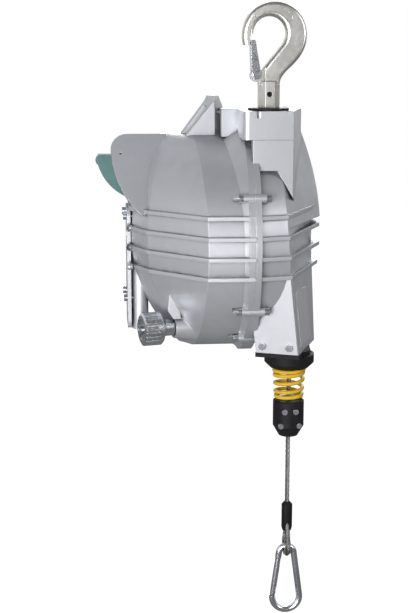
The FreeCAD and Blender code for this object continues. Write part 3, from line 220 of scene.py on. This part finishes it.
def make_worn_edge():
    """Mask of the outer edges, where handling rubs the finish. It is broken up by noise."""
    group, start, end = new_group(
        "worn_edge",
        {"Width": ("NodeSocketFloat", 0.0012), "Amount": ("NodeSocketFloat", 1.0)},
        {"Mask": "NodeSocketFloat"})
    bevel = group.nodes.new("ShaderNodeBevel")
    bevel.samples = BEVEL_SAMPLES
    group.links.new(start.outputs["Width"], bevel.inputs["Radius"])
    plain = group.nodes.new("ShaderNodeNewGeometry")
    dot = group.nodes.new("ShaderNodeVectorMath")
    dot.operation = "DOT_PRODUCT"
    group.links.new(bevel.outputs["Normal"], dot.inputs[0])
    group.links.new(plain.outputs["Normal"], dot.inputs[1])
    edge = ramp(group, dot.outputs["Value"], low=0.98, high=0.80)
    speckle = noise(group, object_point(group), scale=160.0, detail=4.0)
    worn = maths(group, "MULTIPLY", edge, ramp(group, speckle, low=0.38, high=0.62))
    mask = maths(group, "MULTIPLY", worn, start.outputs["Amount"], clamp=True)
    group.links.new(mask, end.inputs["Mask"])
    return group


def make_hollow_shade():
    """Mask of painted shade in corners and hollows, made uneven by noise."""
    group, start, end = new_group(
        "hollow_shade",
        {"Reach": ("NodeSocketFloat", 0.012), "Amount": ("NodeSocketFloat", 1.0)},
        {"Mask": "NodeSocketFloat"})
    # Occlusion decides where the shade is painted.
    shade = group.nodes.new("ShaderNodeAmbientOcclusion")
    shade.samples = HOLLOW_SAMPLES
    group.links.new(start.outputs["Reach"], shade.inputs["Distance"])
    deep = ramp(group, shade.outputs["AO"], low=0.8, high=0.3)
    speckle = noise(group, object_point(group), scale=90.0, detail=4.0)
    uneven = ramp(group, speckle, low=0.25, high=0.75, to_low=0.5)
    shaded = maths(group, "MULTIPLY", deep, uneven)
    mask = maths(group, "MULTIPLY", shaded, start.outputs["Amount"], clamp=True)
    group.links.new(mask, end.inputs["Mask"])
    return group


def make_brushed():
    """Fine scratches along one axis, as a height and a roughness mask."""
    group, start, end = new_group(
        "brushed",
        {"Along": ("NodeSocketVector", (1.0, 1.0, 0.04)), "Scale": ("NodeSocketFloat", 1500.0)},
        {"Height": "NodeSocketFloat", "Tone": "NodeSocketFloat"})
    stretch = group.nodes.new("ShaderNodeVectorMath")
    stretch.operation = "MULTIPLY"
    group.links.new(object_point(group), stretch.inputs[0])
    group.links.new(start.outputs["Along"], stretch.inputs[1])
    lines = noise(group, stretch.outputs["Vector"], start.outputs["Scale"], detail=2.0, rough=0.6)
    group.links.new(lines, end.inputs["Height"])
    group.links.new(ramp(group, lines, 0.35, 0.65), end.inputs["Tone"])
    return group


CAST_GRAIN = make_cast_grain()
WORN_EDGE = make_worn_edge()
# Painted shade for corners and hollows, shared by the metals.
HOLLOW_SHADE = make_hollow_shade()
BRUSHED = make_brushed()


# Materials

class Finish:
    """A material being made: its node tree, its shader and the helpers that feed it."""

    def __init__(self, name, roughness, metallic=0.0, coat=0.0, sheen=0.5):
        self.material = bpy.data.materials.new(name)
        self.material.use_nodes = True
        self.tree = self.material.node_tree
        self.shader = self.tree.nodes["Principled BSDF"]
        self.shader.inputs["Roughness"].default_value = roughness
        self.shader.inputs["Metallic"].default_value = metallic
        self.shader.inputs["Coat Weight"].default_value = coat
        self.shader.inputs["Coat Roughness"].default_value = COAT_ROUGHNESS
        self.shader.inputs["Specular IOR Level"].default_value = sheen

    def group(self, tree, **values):
        """One of the shared effects with this material's own values."""
        node = self.tree.nodes.new("ShaderNodeGroup")
        node.node_tree = tree
        for key, value in values.items():
            node.inputs[key.replace("_", " ")].default_value = value
        return node

    def colour(self, value):
        self.tree.links.new(value, self.shader.inputs["Base Color"])

    def rough(self, value):
        self.tree.links.new(value, self.shader.inputs["Roughness"])

    def bump(self, height, depth, soften):
        """Bump of that depth in metres, over edges that look rounded by soften."""
        bump = self.tree.nodes.new("ShaderNodeBump")
        bump.inputs["Strength"].default_value = 1.0
        bump.inputs["Distance"].default_value = depth
        self.tree.links.new(height, bump.inputs["Height"])
        if soften:
            bevel = self.tree.nodes.new("ShaderNodeBevel")
            bevel.samples = BEVEL_SAMPLES
            bevel.inputs["Radius"].default_value = soften
            self.tree.links.new(bevel.outputs["Normal"], bump.inputs["Normal"])
        self.tree.links.new(bump.outputs["Normal"], self.shader.inputs["Normal"])


def coated_casting(name, base, shade, worn, corner_shade):
    """Silver-grey coat over cast aluminium, with painted shade in its corners, and rubbed at its
    edges.
    """
    finish = Finish(name, roughness=0.42, metallic=0.6, sheen=0.3)
    grain = finish.group(CAST_GRAIN, Fine=850.0, Broad=24.0, Broad_Share=0.6)
    edge = finish.group(WORN_EDGE, Width=0.0014, Amount=0.8)
    hollow = finish.group(HOLLOW_SHADE, Reach=0.011, Amount=1.0)
    tree = finish.tree
    body = mix_colour(tree, grain.outputs["Tone"], base, shade)
    # Painted shade: the dark corner colour laid into corners and hollows.
    body = mix_colour(tree, hollow.outputs["Mask"], body, corner_shade)
    finish.colour(mix_colour(tree, edge.outputs["Mask"], body, worn))
    finish.rough(ramp(tree, grain.outputs["Tone"], 0.0, 1.0, to_low=0.38, to_high=0.46))
    finish.bump(grain.outputs["Height"], CASTING_GRAIN_DEPTH, CASTING_EDGE)
    return finish.material


def painted_sheet(name, base, shade, worn, roughness, metallic=0.0, coat=0.2, sheen=0.5):
    """Smooth paint or moulded plastic with a faint grain."""
    finish = Finish(name, roughness=roughness, metallic=metallic, coat=coat, sheen=sheen)
    grain = finish.group(CAST_GRAIN, Fine=1400.0, Broad=60.0, Broad_Share=0.3)
    edge = finish.group(WORN_EDGE, Width=0.0006, Amount=0.6)
    tree = finish.tree
    body = mix_colour(tree, grain.outputs["Tone"], base, shade)
    finish.colour(mix_colour(tree, edge.outputs["Mask"], body, worn))
    finish.rough(ramp(tree, grain.outputs["Tone"], 0.0, 1.0, roughness - 0.04, roughness + 0.06))
    finish.bump(grain.outputs["Height"], SHEET_GRAIN_DEPTH, SHEET_EDGE)
    return finish.material


def bare_steel(name, base, shade, worn, corner_shade, roughness, along, soften=STEEL_EDGE,
               reach=STEEL_REACH, corner_shade_amount=0.8):
    """Bright metal with fine machining lines, with painted shade in its hollows."""
    finish = Finish(name, roughness=roughness, metallic=1.0)
    lines = finish.group(BRUSHED, Scale=2600.0, Along=along)
    grain = finish.group(CAST_GRAIN, Fine=600.0, Broad=70.0, Broad_Share=0.5)
    edge = finish.group(WORN_EDGE, Width=0.0009, Amount=0.7)
    hollow = finish.group(HOLLOW_SHADE, Reach=reach, Amount=corner_shade_amount)
    tree = finish.tree
    body = mix_colour(tree, grain.outputs["Tone"], base, shade)
    # Painted shade: the dark hollow colour laid in by occlusion.
    body = mix_colour(tree, hollow.outputs["Mask"], body, corner_shade)
    finish.colour(mix_colour(tree, edge.outputs["Mask"], body, worn))
    finish.rough(ramp(tree, lines.outputs["Tone"], 0.0, 1.0, roughness - 0.04, roughness + 0.05))
    finish.bump(lines.outputs["Height"], STEEL_LINE_DEPTH, soften)
    return finish.material


# Colours are linear. "along" stretches the machining lines where it is small.
# The last colour of each metal is painted shade for its corners and hollows; on the rope it falls
# between the strands.
MATERIALS = {
    "casing_metal": coated_casting(
        "silver_casting", base=(0.60, 0.61, 0.65), shade=(0.53, 0.54, 0.58),
        worn=(0.82, 0.83, 0.85), corner_shade=(0.10, 0.10, 0.105)),
    "cover_metal": painted_sheet(
        "pale_sheet", base=(0.66, 0.665, 0.71), shade=(0.61, 0.615, 0.66),
        worn=(0.84, 0.84, 0.87), roughness=0.40, metallic=0.3),
    "forged_steel": bare_steel(
        "forged_steel", base=(0.82, 0.81, 0.78), shade=(0.66, 0.65, 0.62),
        worn=(0.92, 0.91, 0.88), corner_shade=(0.05, 0.04, 0.03), roughness=0.36, along=(1.0, 1.0, 1.0)),
    "zinc_steel": bare_steel(
        "bright_zinc", base=(0.76, 0.78, 0.82), shade=(0.66, 0.68, 0.72),
        worn=(0.88, 0.89, 0.92), corner_shade=(0.05, 0.05, 0.06), roughness=0.26, along=(1.0, 1.0, 0.3)),
    "inner_steel": bare_steel(
        "oiled_steel", base=(0.40, 0.40, 0.41), shade=(0.30, 0.30, 0.31),
        worn=(0.60, 0.60, 0.61), corner_shade=(0.04, 0.04, 0.04), roughness=0.36, along=(0.1, 1.0, 1.0)),
    "black_steel": painted_sheet(
        "black_steel", base=(0.010, 0.010, 0.012), shade=(0.018, 0.018, 0.020),
        worn=(0.10, 0.10, 0.11), roughness=0.5, coat=0.0, sheen=0.15),
    "black_plastic": painted_sheet(
        "black_nylon", base=(0.009, 0.009, 0.010), shade=(0.015, 0.015, 0.016),
        worn=(0.04, 0.04, 0.045), roughness=0.55, coat=0.0, sheen=0.15),
    "spring_yellow": painted_sheet(
        "yellow_spring", base=(0.78, 0.50, 0.02), shade=(0.66, 0.41, 0.015),
        worn=(0.88, 0.66, 0.10), roughness=0.38, coat=0.0, sheen=0.3),
    "wire_rope": bare_steel(
        "galvanised_rope", base=(0.30, 0.29, 0.27), shade=(0.20, 0.19, 0.18),
        worn=(0.56, 0.55, 0.53), corner_shade=(0.012, 0.012, 0.012), roughness=0.42,
        along=(1.0, 1.0, 0.3), soften=0.0, reach=1.2 * MM, corner_shade_amount=1.0),
    "bronze": bare_steel(
        "bronze", base=(0.52, 0.36, 0.16), shade=(0.42, 0.28, 0.12),
        worn=(0.72, 0.55, 0.30), corner_shade=(0.06, 0.04, 0.02), roughness=0.34, along=(0.1, 1.0, 1.0)),
    "teal_paint": painted_sheet(
        "teal_sheet", base=(0.075, 0.205, 0.195), shade=(0.06, 0.165, 0.16),
        worn=(0.36, 0.46, 0.45), roughness=0.38),
}


def dress(piece, material):
    piece.data.materials.clear()
    piece.data.materials.append(material)


for sub in frame["record"]["subparts"]:
    dress(nodes[sub["node"]], MATERIALS[sub["material_slot"]])


# Camera

def make_camera():
    """The photograph's camera, level from side to side."""
    data = bpy.data.cameras.new("camera")
    data.sensor_width = SENSOR
    data.lens = FOCAL_PIXELS * SENSOR / IMAGE_LONG_SIDE
    data.clip_start, data.clip_end = NEAREST, FARTHEST
    camera = bpy.data.objects.new("camera", data)
    bpy.context.scene.collection.objects.link(camera)
    camera.location = CAMERA_AT
    camera.rotation_euler = (math.radians(90 - CAMERA_DOWN), 0, math.radians(-CAMERA_YAW))
    bpy.context.scene.camera = camera


make_camera()


# Rope

def new_piece(name, bm, material, smooth=True):
    """An object in the scene from a mesh being edited, which is used up."""
    mesh = bpy.data.meshes.new(name)
    bmesh.ops.recalc_face_normals(bm, faces=bm.faces)
    bm.to_mesh(mesh)
    bm.free()
    piece = bpy.data.objects.new(name, mesh)
    bpy.context.scene.collection.objects.link(piece)
    dress(piece, material)
    if smooth:
        for face in mesh.polygons:
            face.use_smooth = True
    return piece


def spline_points(name, points, steps):
    """Points along the smooth line that a row of control points makes."""
    curve = bpy.data.curves.new(name, "CURVE")
    curve.dimensions = "3D"
    spline = curve.splines.new("NURBS")
    spline.points.add(len(points) - 1)
    for knot, p in zip(spline.points, points):
        knot.co = (*p, 1.0)
    spline.order_u = 3
    spline.use_endpoint_u = True
    spline.resolution_u = steps
    holder = bpy.data.objects.new(name, curve)
    line = bpy.data.meshes.new_from_object(holder)
    found = [v.co.copy() for v in line.vertices]
    bpy.data.objects.remove(holder)
    bpy.data.curves.remove(curve)
    bpy.data.meshes.remove(line)
    return found


def travel(path):
    """Running length and a steady frame at each point of a path."""
    length, frames = 0.0, []
    side = None
    for i, p in enumerate(path):
        before, after = path[max(i - 1, 0)], path[min(i + 1, len(path) - 1)]
        way = (after - before).normalized()
        if side is None:
            side = way.cross(Vector((0, 1, 0)))
        side = (side - way * side.dot(way)).normalized()
        if i:
            length += (p - path[i - 1]).length
        frames.append((length, p, side.copy(), way.cross(side)))
    return frames


def stranded(name, path, diameter, lay=LAY):
    """Wire rope: a section with one lobe for each strand, twisted along the path."""
    bm = bmesh.new()
    rings = []
    strand_r = diameter / 6
    for length, p, u, v in travel(path):
        turn = 2 * math.pi * length / lay
        ring = []
        for k in range(POINTS_ROUND):
            a = 2 * math.pi * k / POINTS_ROUND
            lobe = (a * STRANDS / (2 * math.pi)) % 1.0 - 0.5
            across = lobe * 2 * math.pi / STRANDS
            r = 2 * strand_r * math.cos(across)
            r += math.sqrt(max(strand_r ** 2 - (2 * strand_r * math.sin(across)) ** 2, 0.0))
            ring.append(bm.verts.new(p + (u * math.cos(a + turn) + v * math.sin(a + turn)) * r))
        rings.append(ring)
    for a, b in zip(rings, rings[1:]):
        for k in range(POINTS_ROUND):
            n = (k + 1) % POINTS_ROUND
            bm.faces.new((a[k], a[n], b[n], b[k]))
    bm.faces.new(list(reversed(rings[0])))
    bm.faces.new(rings[-1])
    return new_piece(name, bm, MATERIALS["wire_rope"])


def eye_route():
    """Control points of the rope's eye round the thimble, from the sleeve and back into it."""
    r = EYE_SPREAD * (EYE_R + THIMBLE_T + ROPE_D / 2)
    y = (ROPE_D + ENDS_GAP) / 2
    top, mouth = SLEEVE_LOW + ENDS_UP, SLEEVE_LOW + MOUTH_UP
    turn = [math.radians(a) for a in range(EYE_FIRST, EYE_LAST - 1, EYE_TURN)]
    route = [(ROPE_X, y, top), (ROPE_X, y + ENDS_OPEN, mouth)]
    route += [(ROPE_X, r * math.cos(a), EYE_Z + r * math.sin(a)) for a in turn]
    route += [(ROPE_X, -y - ENDS_OPEN, mouth), (ROPE_X, -y, top)]
    return route


def hang_rope():
    """The free rope, its eye, and the running length from the guide down to the free rope."""
    middle = (ROPE_TOP + ROPE_LOW) / 2
    route = [(ROPE_X, 0.0, z) for z in (ROPE_TOP, middle, ROPE_LOW)]
    path = spline_points("rope_route", route, ROPE_STEPS)
    rope = stranded("hanging_rope", path, ROPE_D)
    eye_path = spline_points("eye_route", eye_route(), EYE_STEPS)
    eye = stranded("eye_rope", eye_path, EYE_ROPE_D, EYE_LAY)
    drop = ROPE_TOP - GUIDE_STOP
    running_path = [Vector((ROPE_X, 0.0, GUIDE_STOP + drop * i / RUNNING_STEPS))
                    for i in range(RUNNING_STEPS + 1)]
    running = stranded("running_rope", running_path, RUNNING_D)
    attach(rope, "load_line")
    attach(eye, "load_line")
    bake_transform(running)
    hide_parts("rope")
    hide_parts("rope_eye")
    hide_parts("rope_at_guide")


hang_rope()


# Dark pin in the hook's shank hole, as painted shade

def shank_pin_shade():
    """The dark pin across the shank, below the ring, that fills the hole with painted shade."""
    bm = bmesh.new()
    bmesh.ops.create_cone(bm, cap_ends=True, segments=PIN_SIDES, radius1=PIN_R, radius2=PIN_R,
                          depth=2 * PIN_HALF, matrix=Matrix.Rotation(math.pi / 2, 4, "X"))
    bmesh.ops.translate(bm, verts=bm.verts, vec=PIN_AT)
    pin = new_piece("shank_pin_shade", bm, MATERIALS["black_steel"], smooth=False)
    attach(pin, "hook")


shank_pin_shade()


# Studio

def white_backdrop(tree, plain, glossy):
    """Strength that is white to the camera, and less for what lights the object."""
    path = tree.nodes.new("ShaderNodeLightPath")
    seen = maths(tree, "MAXIMUM", path.outputs["Is Camera Ray"],
                 path.outputs["Is Transmission Ray"])
    mirrored = ramp(tree, path.outputs["Is Glossy Ray"], 0.0, 1.0, plain, glossy)
    return maths(tree, "MAXIMUM", seen, mirrored)


def behind(tree, room):
    """White behind the object, and the dim room that metal shows from in front of it."""
    ray = tree.nodes.new("ShaderNodeTexCoord").outputs["Generated"]
    parts = tree.nodes.new("ShaderNodeSeparateXYZ")
    tree.links.new(ray, parts.inputs[0])
    return ramp(tree, parts.outputs["Y"], ROOM_ENDS, BACK_STARTS, room, BACK_IN_METAL)


def make_floor():
    """Plain floor, white to the camera and grey to what stands over it."""
    floor = bpy.data.meshes.new("floor")
    s, low = FLOOR_HALF, FLOOR_Z
    floor.from_pydata([(-s, -s, low), (s, -s, low), (s, s, low), (-s, s, low)], [], [(0, 1, 2, 3)])
    piece = bpy.data.objects.new("floor", floor)
    bpy.context.scene.collection.objects.link(piece)
    paint = Finish("floor_paint", roughness=FLOOR_ROUGHNESS)
    paint.shader.inputs["Base Color"].default_value = (FLOOR_GREY, FLOOR_GREY, FLOOR_GREY, 1)
    paint.shader.inputs["Emission Color"].default_value = WHITE
    paint.tree.links.new(white_backdrop(paint.tree, 0.0, FLOOR_IN_METAL),
                         paint.shader.inputs["Emission Strength"])
    piece.data.materials.append(paint.material)


def make_world():
    """Even, weak light from all round, white behind the object."""
    world = bpy.data.worlds.new("studio")
    bpy.context.scene.world = world
    world.use_nodes = True
    tree = world.node_tree
    back = tree.nodes["Background"]
    back.inputs["Color"].default_value = WHITE
    tree.links.new(white_backdrop(tree, WORLD_LIGHT, behind(tree, ROOM_IN_METAL)),
                   back.inputs["Strength"])


def make_lamp(name, turn, lift, size, power):
    """Soft lamp that faces the housing, from one row of LAMPS."""
    data = bpy.data.lights.new(name, "AREA")
    data.shape = "RECTANGLE"
    data.size, data.size_y = size
    data.energy = power
    light = bpy.data.objects.new(name, data)
    bpy.context.scene.collection.objects.link(light)
    a, b = math.radians(turn), math.radians(lift)
    way = Vector((math.sin(a) * math.cos(b), -math.cos(a) * math.cos(b), math.sin(b)))
    light.location = Vector(LIT_POINT) + way * LAMP_DISTANCE
    light.rotation_euler = way.to_track_quat("Z", "Y").to_euler()


make_floor()
make_world()
for lamp_name, row in LAMPS.items():
    make_lamp(lamp_name, *row)

bpy.context.scene.view_settings.view_transform = "Standard"
